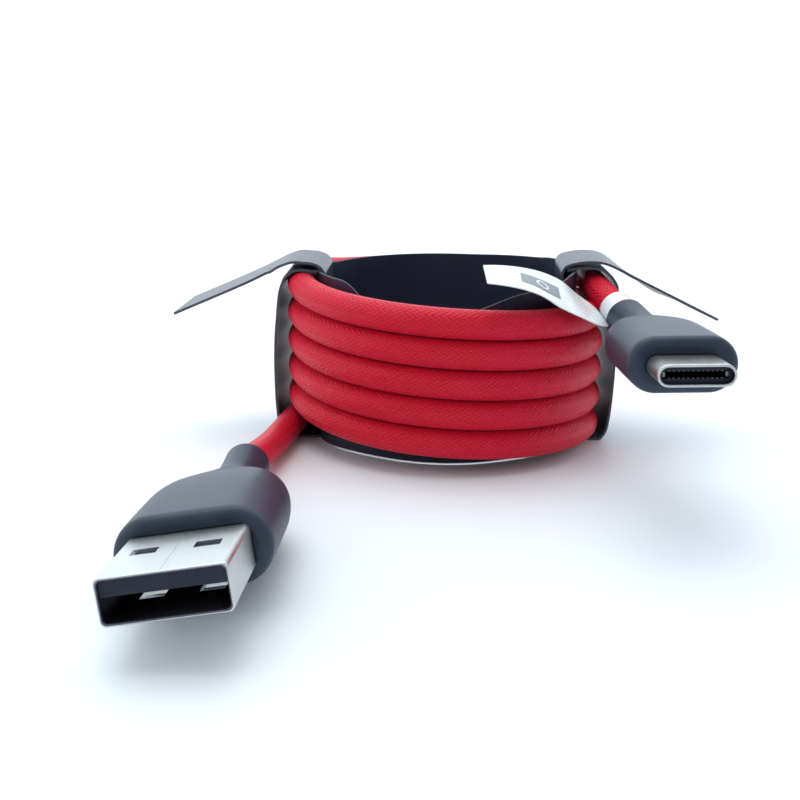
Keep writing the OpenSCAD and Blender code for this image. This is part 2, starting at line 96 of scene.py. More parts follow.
class Shader:
    """A few short calls for building a node tree on a principled surface."""

    def __init__(self, name):
        self.material = bpy.data.materials.new(name)
        self.material.use_nodes = True
        self.tree = self.material.node_tree
        self.out = self.tree.nodes["Principled BSDF"]

    def node(self, kind, **settings):
        made = self.tree.nodes.new(kind)
        for key, value in settings.items():
            setattr(made, key, value)
        return made

    def link(self, source, target):
        if isinstance(source, (int, float, tuple)):
            target.default_value = source
        else:
            self.tree.links.new(source, target)

    def math(self, operation, a, b=0.0, c=0.0):
        made = self.node("ShaderNodeMath", operation=operation)
        for socket, value in zip(made.inputs, (a, b, c)):
            self.link(value, socket)
        return made.outputs[0]

    def mix(self, factor, a, b):
        made = self.node("ShaderNodeMix", data_type="RGBA")
        self.link(factor, made.inputs["Factor"])
        self.link(a, made.inputs["A"])
        self.link(b, made.inputs["B"])
        return made.outputs["Result"]

    def place(self, stretch=(1, 1, 1)):
        """The object's own coordinates, in millimetres."""
        where = self.node("ShaderNodeTexCoord").outputs["Object"]
        scaled = self.node("ShaderNodeVectorMath", operation="MULTIPLY")
        self.link(where, scaled.inputs[0])
        scaled.inputs[1].default_value = [1000 * s for s in stretch]
        return scaled.outputs[0]

    def noise(self, where, per_mm, detail=3.0, roughness=0.55):
        made = self.node("ShaderNodeTexNoise")
        made.inputs["Scale"].default_value = per_mm
        made.inputs["Detail"].default_value = detail
        made.inputs["Roughness"].default_value = roughness
        self.link(where, made.inputs["Vector"])
        return made.outputs["Fac"]

    def span(self, value, low, high, to_low=0.0, to_high=1.0):
        made = self.node("ShaderNodeMapRange")
        self.link(value, made.inputs["Value"])
        for name, number in (
            ("From Min", low),
            ("From Max", high),
            ("To Min", to_low),
            ("To Max", to_high),
        ):
            made.inputs[name].default_value = number
        return made.outputs["Result"]

    def bump(self, height, distance_mm, strength=1.0):
        made = self.node("ShaderNodeBump")
        made.inputs["Strength"].default_value = strength
        made.inputs["Distance"].default_value = distance_mm * MM
        self.link(height, made.inputs["Height"])
        self.link(made.outputs["Normal"], self.out.inputs["Normal"])

    def set(self, **sockets):
        for name, value in sockets.items():
            self.link(value, self.out.inputs[name.replace("_", " ")])
        return self


def rgb(r, g, b):
    return (r, g, b, 1.0)


def moulded(name, dark, light, rough=(0.4, 0.55), grain=0.006, per_mm=9.0, gloss=0.5):
    """Moulded plastic or rubber: a fine matte grain with faint cloudy variation."""
    s = Shader(name)
    where = s.place()
    cloud = s.noise(where, 0.35)
    fine = s.noise(where, per_mm, 4)
    s.set(
        Base_Color=s.mix(s.span(cloud, 0.35, 0.65), dark, light),
        Roughness=s.span(fine, 0.3, 0.7, *rough),
        Specular_IOR_Level=gloss,
    )
    s.bump(fine, grain)
    return s.material


def plated(name, dark, light, rough=(0.31, 0.37), stretch=(3, 0.25, 3)):
    """Plated metal with faint drawing lines, soft cloudy wear and a little tarnish."""
    s = Shader(name)
    lines = s.noise(s.place(stretch), 1.6, 2)
    blotch = s.noise(s.place(), 0.16, 2)
    s.set(
        Base_Color=s.mix(s.span(lines, 0.3, 0.7), dark, light),
        Metallic=1.0,
        Roughness=s.span(blotch, 0.35, 0.65, *rough),
    )
    s.bump(blotch, 0.02, 0.25)
    return s.material


# ---------------------------------------------------------------- materials


def braid():
    """Two families of strands that pass two over and two under, with filaments along each one."""
    crown_power, crown_share, sway_share, filament_share = 2.4, 0.8, 0.2, 0.07
    filament_wave, sway_wave = 25.13, 3.1416
    s = Shader("red_braid")
    uv = s.node("ShaderNodeUVMap").outputs["UV"]
    parts = s.node("ShaderNodeSeparateXYZ")
    s.link(uv, parts.inputs[0])
    u, v = parts.outputs["X"], parts.outputs["Y"]
    a = s.math("ADD", u, v)
    b = s.math("SUBTRACT", u, v)
    step = s.math("SUBTRACT", s.math("FLOOR", a), s.math("FLOOR", b))
    a_above = s.math("LESS_THAN", s.math("FLOORED_MODULO", step, 4.0), 1.5)

    def strand(across, along):
        off = s.math("ABSOLUTE", s.math("SUBTRACT", s.math("FRACT", across), 0.5))
        edge = s.math("POWER", s.math("MULTIPLY", off, 2.0), crown_power)
        crown = s.math("SUBTRACT", 1.0, edge)
        wave = s.math("SINE", s.math("MULTIPLY", across, filament_wave))
        sway = s.math("SINE", s.math("MULTIPLY", along, sway_wave))
        lift = s.math("MULTIPLY", s.math("ABSOLUTE", sway), sway_share)
        full = s.math("ADD", s.math("MULTIPLY", crown, crown_share), lift)
        return s.math("ADD", full, s.math("MULTIPLY", wave, filament_share))

    height_a, height_b = strand(a, b), strand(b, a)
    chosen = s.node("ShaderNodeMix", data_type="FLOAT")
    s.link(a_above, chosen.inputs["Factor"])
    s.link(height_b, chosen.inputs["A"])
    s.link(height_a, chosen.inputs["B"])
    height = chosen.outputs["Result"]
    cloud = s.noise(s.place(), 0.6)
    strands = s.noise(s.place(), 7.0, 4)
    # painted shade: the thread colour darkens from each strand's crown down into the grooves
    # between strands
    groove_shaded_thread = s.mix(s.span(height, 0.15, 0.9), rgb(0.46, 0.0, 0.011), rgb(0.76, 0.0, 0.027))
    tone = s.math("MULTIPLY", s.span(cloud, 0.35, 0.65), 0.3)
    s.set(
        Base_Color=s.mix(tone, groove_shaded_thread, rgb(0.82, 0.004, 0.044)),
        Roughness=s.span(strands, 0.3, 0.7, 0.4, 0.54),
        Sheen_Weight=0.14,
        Sheen_Roughness=0.3,
        Sheen_Tint=rgb(1.0, 0.42, 0.56),
        Specular_IOR_Level=0.3,
    )
    s.bump(s.math("ADD", height, s.math("MULTIPLY", strands, 0.35)), 0.085)
    return s.material


def card():
    """Black printed card with short fibres in its matte face."""
    s = Shader("black_card")
    fibres = s.noise(s.place((1, 1, 3)), 3.0, 5)
    cloud = s.noise(s.place(), 0.22)
    dark, light = rgb(0.013, 0.017, 0.038), rgb(0.018, 0.023, 0.05)
    s.set(
        Base_Color=s.mix(s.span(cloud, 0.3, 0.7), dark, light),
        Roughness=s.span(fibres, 0.3, 0.7, 0.32, 0.44),
        Specular_IOR_Level=0.52,
    )
    s.bump(fibres, 0.012)
    return s.material


def card_fibres(name, dark, light):
    """Card with torn fibres: the grey cut edge, and the pale strip of painted light along the
    collar's foot.
    """
    s = Shader(name)
    fibres = s.noise(s.place(), 6.0, 5)
    s.set(Base_Color=s.mix(s.span(fibres, 0.35, 0.65), dark, light), Roughness=0.85)
    s.bump(fibres, 0.04)
    return s.material


def label_film():
    """White film label: glossy, a little uneven where it is stuck to itself."""
    s = Shader("label_film")
    where = s.place()
    ripple = s.noise(where, 0.7, 3)
    grain = s.noise(where, 8.0, 3)
    dark, light = rgb(0.78, 0.83, 0.86), rgb(0.9, 0.92, 0.93)
    s.set(
        Base_Color=s.mix(s.span(ripple, 0.3, 0.7), dark, light),
        Roughness=s.span(grain, 0.3, 0.7, 0.22, 0.36),
        Coat_Weight=0.3,
        Coat_Roughness=0.15,
    )
    s.bump(ripple, 0.06)
    return s.material


def printed(name, dark, light):
    """Ink on the label film, in fine dots."""
    s = Shader(name)
    dots = s.noise(s.place(), 10.0, 2)
    s.set(
        Base_Color=s.mix(s.span(dots, 0.3, 0.7), dark, light),
        Roughness=s.span(dots, 0.3, 0.7, 0.3, 0.45),
    )
    return s.material


def board():
    """Green solder mask over copper tracks."""
    s = Shader("circuit_board")
    where = s.place((1, 1, 0))
    tracks = s.node("ShaderNodeTexBrick")
    tracks.inputs["Scale"].default_value = 1.2
    s.link(where, tracks.inputs["Vector"])
    s.set(
        Base_Color=s.mix(tracks.outputs["Fac"], rgb(0.01, 0.12, 0.05), rgb(0.02, 0.22, 0.09)),
        Roughness=s.span(s.noise(where, 4.0), 0.3, 0.7, 0.3, 0.45),
    )
    return s.material


RED = braid()
CARD = card()
CARD_EDGE = card_fibres("card_fibres", rgb(0.03, 0.033, 0.042), rgb(0.12, 0.125, 0.15))
# painted light: a pale strip at the collar's foot, standing in for the lit floor seen through the
# gap under it
PAINTED_FOOT_LIGHT = card_fibres("painted_foot_light", rgb(0.7, 0.72, 0.75), rgb(0.86, 0.88, 0.9))
FILM = label_film()
PATCH = printed("label_print", rgb(0.2, 0.24, 0.27), rgb(0.26, 0.3, 0.33))
SOFT = moulded(
    "soft_overmold",
    rgb(0.01, 0.021, 0.043),
    rgb(0.014, 0.027, 0.054),
    (0.42, 0.52),
    grain=0.005,
    per_mm=10,
    gloss=0.46,
)
# nickel plate of the USB-A shell; on the USB-C shell's rounded lip the same bright metal is a
# painted highlight
NICKEL_AND_LIP_HIGHLIGHT = plated("nickel_shell", rgb(0.52, 0.535, 0.53), rgb(0.57, 0.585, 0.58))
SATIN = plated("satin_shell", rgb(0.3, 0.3, 0.295), rgb(0.38, 0.38, 0.37), (0.3, 0.38))
SEAM = moulded("shell_seam", rgb(0.2, 0.2, 0.2), rgb(0.3, 0.3, 0.3), (0.5, 0.7))
# painted shade: the shells' inner faces are the same metal as outside, painted dark for the shade
# inside them
SHADE_PAINTED_METAL = plated("shell_inside_painted_shade", rgb(0.1, 0.1, 0.14), rgb(0.15, 0.15, 0.2), (0.4, 0.5))
GOLD = plated("gold_contact", rgb(0.42, 0.28, 0.1), rgb(0.55, 0.38, 0.16), (0.28, 0.4))
# painted shade: the USB-C contacts are gold, painted dark and dull for the shade deep in the plug's
# mouth
SHADE_PAINTED_GOLD = plated("shade_painted_contact", rgb(0.1, 0.085, 0.07), rgb(0.16, 0.135, 0.1), (0.4, 0.5))
TIN = plated("inner_metal", rgb(0.22, 0.22, 0.23), rgb(0.32, 0.32, 0.33), (0.4, 0.5))
TONGUE = moulded("navy_insulator", rgb(0.008, 0.011, 0.028), rgb(0.013, 0.017, 0.04), gloss=0.35)
MILKY = moulded("milky_mould", rgb(0.6, 0.58, 0.5), rgb(0.72, 0.7, 0.62), (0.3, 0.45))
BOARD = board()
CHIP = moulded("black_chip", rgb(0.01, 0.01, 0.01), rgb(0.03, 0.03, 0.03), (0.25, 0.4))
WIRE = {
    colour: moulded(f"{colour}_wire", dark, light, (0.25, 0.4))
    for colour, dark, light in (
        ("red", rgb(0.5, 0.01, 0.01), rgb(0.62, 0.02, 0.02)),
        ("white", rgb(0.72, 0.72, 0.7), rgb(0.82, 0.82, 0.8)),
        ("green", rgb(0.01, 0.25, 0.06), rgb(0.02, 0.34, 0.1)),
        ("black", rgb(0.008, 0.008, 0.008), rgb(0.02, 0.02, 0.02)),
    )
}


# ---------------------------------------------------------------- mesh helpers


def make_piece(name, points, faces, materials, replaced=(), body=ROOT):
    """faces is a list of (corner indices, material index)."""
    mesh = bpy.data.meshes.new(name)
    mesh.from_pydata([tuple(p) for p in points], [], [f[0] for f in faces])
    for material in materials:
        mesh.materials.append(material)
    for face, (_, index) in zip(mesh.polygons, faces):
        face.material_index = index
        face.use_smooth = True
    mesh.validate()
    mesh.update()
    piece = add_to_scene(name, mesh)
    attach(piece, body)
    if replaced:
        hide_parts(*replaced)
    return piece


def tube_faces(rings, sides, cap):
    """Faces of a tube made of rings with the same number of sides."""
    faces = []
    for i in range(rings - 1):
        for k in range(sides):
            a, b = i * sides + k, i * sides + (k + 1) % sides
            faces.append(((a, b, b + sides, a + sides), 0))
    if cap:
        faces.append((tuple(range(sides - 1, -1, -1)), 0))
        faces.append((tuple((rings - 1) * sides + k for k in range(sides)), 0))
    return faces


def sheet_faces(rows, cross, edge_look):
    """Faces of a sheet with thickness. Each row of points holds its upper side, then its lower."""
    faces = []
    for i in range(rows - 1):
        a, b = i * 2 * cross, (i + 1) * 2 * cross
        for k in range(cross - 1):
            faces.append(((a + k, a + k + 1, b + k + 1, b + k), 0))
            faces.append(((a + cross + k, b + cross + k, b + cross + k + 1, a + cross + k + 1), 0))
        faces.append(((a, b, b + cross, a + cross), edge_look))
        last = cross - 1
        faces.append(((a + last, a + cross + last, b + cross + last, b + last), edge_look))
    for a in (0, (rows - 1) * 2 * cross):
        for k in range(cross - 1):
            faces.append(((a + k, a + k + 1, a + cross + k + 1, a + cross + k), edge_look))
    return faces


def finish_mesh(piece, crease):
    """Turns the faces outwards, and shades smooth across edges gentler than the crease angle."""
    work = bmesh.new()
    work.from_mesh(piece.data)
    bmesh.ops.recalc_face_normals(work, faces=work.faces)
    work.normal_update()
    for edge in work.edges:
        edge.smooth = edge.calc_face_angle(0) < math.radians(crease)
    work.to_mesh(piece.data)
    work.free()
    return piece


def to_world(frame_matrix, rings):
    """Rings of (y, [(x, z), ...]) in millimetres, as points in the world."""
    return [frame_matrix @ (Vector((x, y, z)) * MM) for y, ring in rings for x, z in ring]


def direction_at(line, i):
    """The way the line runs at one of its points."""
    return (line[min(i + 1, len(line) - 1)] - line[max(i - 1, 0)]).normalized()


def running_lengths(line):
    """The distance along the line at each of its points."""
    runs = [0.0]
    for a, b in zip(line, line[1:]):
        runs.append(runs[-1] + (b - a).length)
    return runs


def catmull(points, steps):
    """A smooth line through the points, with the given number of steps in each span."""
    pts = [Vector(p) for p in points]
    first, last = pts[0] * 2 - pts[1], pts[-1] * 2 - pts[-2]
    pts = [first, *pts, last]
    line = []
    for i in range(1, len(pts) - 2):
        p0, p1, p2, p3 = pts[i - 1 : i + 3]
        for k in range(steps):
            t = k / steps
            line.append(
                0.5
                * (
                    2 * p1
                    + (p2 - p0) * t
                    + (2 * p0 - 5 * p1 + 4 * p2 - p3) * t * t
                    + (3 * p1 - p0 - 3 * p2 + p3) * t * t * t
                )
            )
    line.append(pts[-2])
    return line


def resample(line, gap):
    """The same line with its points evenly spaced, about one gap apart."""
    runs = running_lengths(line)
    count = max(2, round(runs[-1] / gap))
    out, i = [], 0
    for k in range(count + 1):
        want = runs[-1] * k / count
        while i < len(line) - 2 and runs[i + 1] < want:
            i += 1
        t = (want - runs[i]) / max(runs[i + 1] - runs[i], 1e-12)
        out.append(line[i].lerp(line[i + 1], min(max(t, 0), 1)))
    return out


def box_ring(width, height, corner, count):
    """Points round a box with rounded corners, at even steps of angle, so that rings match."""
    angles = [2 * math.pi * k / count for k in range(count)]
    half_w, half_h = width / 2, height / 2
    return [box_edge(half_w, half_h, corner, math.cos(a), math.sin(a)) for a in angles]


def box_edge(half_w, half_h, corner, dx, dz):
    """Where a ray from the middle meets a box with rounded corners."""
    halvings = 40
    low, high = 0.0, (half_w + half_h) * 2
    for _ in range(halvings):
        mid = (low + high) / 2
        x, z = abs(dx * mid), abs(dz * mid)
        out_x, out_z = max(x - half_w + corner, 0), max(z - half_h + corner, 0)
        inside = x <= half_w and z <= half_h and math.hypot(out_x, out_z) <= corner
        low, high = (mid, high) if inside else (low, mid)
    return dx * low, dz * low


def bent_line(length, bend, tilt, steps):
    """Points and directions along a bend that starts along +Y, in a plane tilted about Y."""
    radius = length / math.radians(bend)
    tilted = turn(tilt, "Y")
    line = []
    for i in range(steps + 1):
        a = math.radians(bend) * i / steps
        point = Vector((radius * (math.cos(a) - 1), radius * math.sin(a), 0))
        ahead = Vector((-math.sin(a), math.cos(a), 0))
        line.append((tilted @ point, tilted @ ahead))
    return line


def eased(value, low, high):
    """Rises from 0 at low to 1 at high, with a gentle start and end."""
    t = min(1.0, max(0.0, (value - low) / (high - low)))
    return t * t * (3 - 2 * t)


def read_table(table, at):
    """Reads a table by straight steps between its rows. The first column is the place."""
    for (x0, *a), (x1, *b) in zip(table, table[1:]):
        if at <= x1:
            t = (at - x0) / (x1 - x0)
            return [p + (q - p) * t for p, q in zip(a, b)]
    return list(table[-1][1:])


# ---------------------------------------------------------------- the cord

# from here to the floor, sizes are in millimetres and angles in degrees
CORD_D = 3.9
COIL_R = 20.7
COIL_BASE = 2.35
PITCH = 4.0
CLIMB_SPREAD = range(-24, 25, 4)
# the last half turn starts here, and slips round the turn below it by this angle
SLIP_START, SLIP_SPAN, SLIP_EASE, SLIP_ANGLE = 1800, 180, 0.3, 58
# each neck's bend and the tilt of the plane it bends in, in degrees
A_NECK = (9, 99)
C_NECK = (20, 52)
A_ROUTE = [
    (-24, -25, 3.3),
    (-23.5, -20, 2.55),
    (-22.9, -14.5, 2.15),
    (-22.2, -8.5, 2.1),
    (-21.4, -3, 2.25),
]
COIL_ANGLES = [6.6, *range(15, 1966, 15)]
C_ROUTE = [
    (20.8, 1.8, 22.35),
    (20.97, -1.4, 22.2),
    (21.52, -4.2, 21.72),
    (22.52, -6.6, 20.95),
    (23.65, -8.4, 20),
]
CORD_GAP = 0.75
SMOOTHINGS = 12
SIDES = 28
STRANDS = 22
STRAND_STEP = 0.86


def coil_z(s):
    """Level for the front half of each turn, and climbing by one pitch over the back half."""
    whole = math.floor(s / 360)
    return COIL_BASE + PITCH * (whole + max(s - 360 * whole - 180, 0) / 180)


def coil_point(s):
    """s is the angle wound since the left. The climb starts and ends gently, and the last half
    turn slips outwards and down, over the turn below it."""
    spread = [coil_z(max(s + d, 0)) for d in CLIMB_SPREAD]
    t = (s - SLIP_START) / SLIP_SPAN
    slip = math.radians(SLIP_ANGLE * eased(min(t, 1 - t), 0, SLIP_EASE))
    r = COIL_R + PITCH * math.sin(slip)
    z = sum(spread) / len(spread) - PITCH * (1 - math.cos(slip))
    angle = math.radians(180 - s)
    return Vector((r * math.cos(angle), r * math.sin(angle), z))


def neck_line(plug, start, length, neck):
    """The cord's middle line inside a strain relief."""
    steps = 8
    return [plug @ ((Vector((0, start, 0)) + p) * MM) for p, _ in bent_line(length, *neck, steps)]


def on_axis(plug, *places):
    """Points on a plug's own axis, at distances from its mouth."""
    return [plug @ (Vector((0, y, 0)) * MM) for y in places]


def cord_route():
    """The middle line of the cord from the USB-A grip to the USB-C grip, evenly spaced."""
    route = [
        *on_axis(A, 31.5, 34),
        *a_neck,
        *[Vector(p) * MM for p in A_ROUTE],
        *[coil_point(s) * MM for s in COIL_ANGLES],
        *[Vector(p) * MM for p in C_ROUTE],
        *reversed(c_neck),
        *on_axis(C, 27, 24.5),
    ]
    line = resample(catmull(route, 6), CORD_GAP * MM)
    for _ in range(SMOOTHINGS):
        inner = [(a + 2 * b + c) / 4 for a, b, c in zip(line, line[1:], line[2:])]
        line = [line[0], *inner, line[-1]]
    return line


def braided_cord(line):
    """A round tube whose UV map counts strands along and round it."""
    points = []
    side = Vector((1, 0, 0))
    for i, p in enumerate(line):
        ahead = direction_at(line, i)
        side = (side - ahead * side.dot(ahead)).normalized()
        other = ahead.cross(side)
        for k in range(SIDES):
            a = 2 * math.pi * k / SIDES
            points.append(p + (side * math.cos(a) + other * math.sin(a)) * CORD_D / 2 * MM)
    piece = make_piece(
        "braided_cord",
        points,
        tube_faces(len(line), SIDES, cap=True),
        [RED],
        ("cord_coil", "usb_a_tail", "usb_c_tail", "usb_a_cord_end", "usb_c_cord_end"),
    )
    runs = running_lengths(line)
    uv = piece.data.uv_layers.new(name="UVMap")
    for face in piece.data.polygons:
        corners = list(face.vertices)
        if len(corners) != 4:
            continue
        columns = [v % SIDES for v in corners]
        wraps = max(columns) - min(columns) > 1
        for loop, vertex in zip(face.loop_indices, corners):
            ring, k = divmod(vertex, SIDES)
            if wraps and k == 0:
                k = SIDES
            uv.data[loop].uv = (runs[ring] / (STRAND_STEP * MM), k * STRANDS / SIDES)
    return piece


a_neck = neck_line(A, 36.5, 10.5, A_NECK)
c_neck = neck_line(C, 30, 9.3, C_NECK)
cord_line = cord_route()
cord = braided_cord(cord_line)


# ---------------------------------------------------------------- overmolds and strain reliefs

GRIP_SIDES = 112
RELIEF_SIDES = 56
SOFT_CREASE = 50


def overmold(name, plug, hole, sections, rim, neck_d, replaced):
    """A soft moulded grip. Its rings run from inside the hole for the shell, over the flat front,
    round the rim and along the body to the neck."""
    front, first_w, first_h = sections[0]
    hole_w, hole_h, hole_r = hole
    rings = []

    def ring_at(y, w, h, corner):
        rings.append((y, box_ring(w, h, corner, GRIP_SIDES)))

    for y in (front + 2, front + 0.25):
        ring_at(y, hole_w, hole_h, hole_r)
    ring_at(front + 0.1, hole_w + 0.12, hole_h + 0.12, hole_r + 0.05)
    for share in (0.35, 0.8):
        w = hole_w + (first_w - 2 * rim - hole_w) * share
        h = hole_h + (first_h - 2 * rim - hole_h) * share
        ring_at(front + 0.06 * (1 - share), w, h, min(w, h) / 2 * (0.5 + share / 2))
    dense = [tuple(row) for row in catmull(sections, 7)]
    for degrees in range(0, 91, 10):
        a = math.radians(degrees)
        y = front + rim * (1 - math.cos(a))
        full_w, full_h = read_table(dense, y)
        w = full_w - 2 * rim * (1 - math.sin(a))
        h = full_h - 2 * rim * (1 - math.sin(a))
        ring_at(y, w, h, h / 2)
    for y, w, h in dense:
        if y > front + rim + 0.1:
            ring_at(y, w, h, min(w, h) / 2 - 1e-4)
    ring_at(dense[-1][0] + 0.12, neck_d - 0.3, neck_d - 0.3, neck_d / 2 - 0.16)
    faces = tube_faces(len(rings), GRIP_SIDES, cap=False)
    piece = make_piece(name, to_world(plug, rings), faces, [SOFT], replaced)
    return finish_mesh(piece, SOFT_CREASE)


# distance from the mouth, width and height
A_SECTIONS = [
    (12.2, 15.4, 7.8),
    (13.2, 15.9, 8.1),
    (16, 16, 8.2),
    (22, 16, 8.2),
    (26, 15.9, 7.95),
    (30, 14.8, 7.3),
    (33, 12.2, 6.6),
    (35, 8.9, 6.2),
    (36, 7.0, 6.15),
    (36.5, 6.25, 6.1),
]
C_SECTIONS = [
    (6.65, 11.7, 6.0),
    (7.6, 12.2, 6.35),
    (10, 12.3, 6.4),
    (18, 12.3, 6.4),
    (22.5, 12.2, 6.2),
    (26.3, 11.0, 5.85),
    (28.5, 8.7, 5.65),
    (29.5, 6.8, 5.65),
    (30, 5.8, 5.65),
]
A_NECK_D = 5.6
C_NECK_D = 5.5
A_HOLE = (12.02, 4.52, 0.5)
C_HOLE = (8.27, 2.42, 1.2)
a_grip = overmold("usb_a_grip", A, A_HOLE, A_SECTIONS, 1.1, A_NECK_D, ("usb_a_overmold",))
c_grip = overmold("usb_c_grip", C, C_HOLE, C_SECTIONS, 0.9, C_NECK_D, ("usb_c_overmold",))


def strain_relief(name, plug, start, length, neck, diameter, flare, replaced):
    """A bent sleeve that flares into the grip, with a rounded lip round the cord. flare is how far
    the radius grows and over what length."""
    steps = 26
    lip = 0.3
    widen, reach = flare
    arc = bent_line(length, *neck, steps)
    end, end_ahead = arc[-1]
    rings = []
    for i, (p, ahead) in enumerate(arc):
        if (end - p).length > lip:
            grow = widen * max(0, 1 - i / steps * length / reach) ** 2
            rings.append((p, ahead, diameter / 2 + grow))
    for degrees in range(0, 91, 15):
        a = math.radians(degrees)
        back, inset = lip * (1 - math.sin(a)), lip * (1 - math.cos(a))
        rings.append((end - end_ahead * back, end_ahead, diameter / 2 - inset))
    # the mouth round the cord, as depths and gaps
    for back, gap in ((0, 0.12), (0.12, 0.02), (1.2, 0.01)):
        rings.append((end - end_ahead * back, end_ahead, CORD_D / 2 + gap))
    points = []
    for p, ahead, radius in rings:
        across = ahead.cross(Vector((0, 0, 1))).normalized()
        up = across.cross(ahead)
        for k in range(RELIEF_SIDES):
            a = 2 * math.pi * k / RELIEF_SIDES
            local = Vector((0, start, 0)) + p + (across * math.cos(a) + up * math.sin(a)) * radius
            points.append(plug @ (local * MM))
    faces = tube_faces(len(rings), RELIEF_SIDES, cap=False)
    piece = make_piece(name, points, faces, [SOFT], replaced)
    return finish_mesh(piece, SOFT_CREASE)


a_relief = strain_relief(
    "usb_a_relief", A, 36.3, 10.7, A_NECK, A_NECK_D, (0.24, 4.0), ("usb_a_strain_relief",)
)
c_relief = strain_relief(
    "usb_c_relief", C, 29.8, 9.5, C_NECK, C_NECK_D, (0.05, 2), ("usb_c_strain_relief",)
)


# ---------------------------------------------------------------- metal shells

SHELL_WALL = 0.3
LIP = 0.15
HARD_CREASE = 40
TOL = 0.01


def shell_profile(half_w, half_h, corner, breaks, arc_steps):
    """Points round a box with rounded corners. Its long faces have extra points at the breaks."""
    right = []
    for k in range(arc_steps + 1):
        a = math.radians(90 * k / arc_steps)
        x, z = corner * math.cos(a), corner * math.sin(a)
        right.append((half_w - corner + x, half_h - corner + z))
    top = [(x, half_h) for x in sorted(breaks, reverse=True)]
    left = [(-x, z) for x, z in reversed(right)]
    upper = right + top + left
    return upper + [(-x, -z) for x, z in upper]


def lip_steps(step):
    """Round the shell's front edge, from the middle of the wall out to its face: how far each ring
    lies behind the front, and its share of half the wall."""
    return [
        (LIP * (1 - math.cos(math.radians(a))), 1 - math.sin(math.radians(a)))
        for a in range(0, 91, step)
    ]


def usb_a_shell():
    """A folded box with two windows in each long face."""
    half_w, half_h, corner = 6.0, 2.25, 0.55
    windows = [(-4.25, -1.75), (1.75, 4.25)]
    window_y = (6.1, 7.9)
    window_edges = [x for window in windows for x in window]
    breaks = window_edges + [-5.0, -3.0, -0.8, 0.8, 3.0, 5.0]
    rows = [0.5, 2, 4, 5.3, 6.1, 7.9, 9, 11, 13, 15, 18.8]
    outline = shell_profile(half_w, half_h, corner, breaks, 6)
    inner_w, inner_h = half_w - SHELL_WALL, half_h - SHELL_WALL
    inline = [(x * inner_w / half_w, z * inner_h / half_h) for x, z in outline]
    count = len(outline)

    def between(t):
        """The ring that lies a share t of the wall inside the outline."""
        return [(x + (u - x) * t, z + (w - z) * t) for (x, z), (u, w) in zip(outline, inline)]

    lip = lip_steps(30)
    rings = [(y, between(0.5 * t)) for y, t in lip]
    rings += [(y, outline) for y in rows]
    back = len(rings)
    rings += [(y, inline) for y in reversed(rows)]
    rings += [(y, between(1 - 0.5 * t)) for y, t in reversed(lip[1:])]
    total = len(rings)

    def on_long_face(k):
        return abs(outline[k % count][1]) > half_h - TOL

    def in_window_width(k):
        middle = (outline[k][0] + outline[(k + 1) % count][0]) / 2
        level = on_long_face(k) and on_long_face(k + 1)
        return level and any(low < middle < high for low, high in windows)

    def in_window_length(i):
        middle = (rings[i][0] + rings[(i + 1) % total][0]) / 2
        return window_y[0] < middle < window_y[1]

    faces = []
    for i in range(total):
        j = (i + 1) % total
        for k in range(count):
            if in_window_width(k) and in_window_length(i):
                continue
            m = (k + 1) % count
            corners = (i * count + k, i * count + m, j * count + m, j * count + k)
            faces.append((corners, 1 if i >= back else 0))
    outer_rows = {rings[i][0]: i * count for i in range(len(lip) - 1, back)}
    inner_rows = {rings[i][0]: i * count for i in range(back, total)}
    near, far = window_y
    for k in range(count):
        if on_long_face(k) and any(abs(outline[k][0] - x) < TOL for x in window_edges):
            outside = (outer_rows[near] + k, outer_rows[far] + k)
            faces.append(((*outside, inner_rows[far] + k, inner_rows[near] + k), 0))
        if in_window_width(k):
            m = (k + 1) % count
            for y in window_y:
                outside = (outer_rows[y] + k, outer_rows[y] + m)
                faces.append(((*outside, inner_rows[y] + m, inner_rows[y] + k), 0))
    # nickel outside; the inner faces use the metal painted dark as shade
    looks = [NICKEL_AND_LIP_HIGHLIGHT, SHADE_PAINTED_METAL]
    points = to_world(A, rings)
    piece = make_piece(
        "usb_a_metal_shell", points, faces, looks, ("usb_a_shell",)
    )
    return finish_mesh(piece, HARD_CREASE)


def usb_a_seam():
    """The line where the shell's sheet meets itself, with its dovetail hook, drawn on the top."""
    width, height = 0.06, 2.256
    path = [(0, 0.3), (0, 3), (0, 9), (0, 9.3), (0.5, 9.45), (0.7, 10.3), (0.3, 10.6), (0, 10.75)]
    line = [Vector((x, y, height)) for x, y in [*path, (0, 12.2)]]
    points = []
    for i, p in enumerate(line):
        ahead = direction_at(line, i)
        across = Vector((ahead.y, -ahead.x, 0)) * width / 2
        points += [A @ (q * MM) for q in (p + across, p - across)]
    faces = [((a, a + 1, a + 3, a + 2), 0) for a in range(0, 2 * len(line) - 2, 2)]
    return make_piece("usb_a_shell_seam", points, faces, [SEAM])


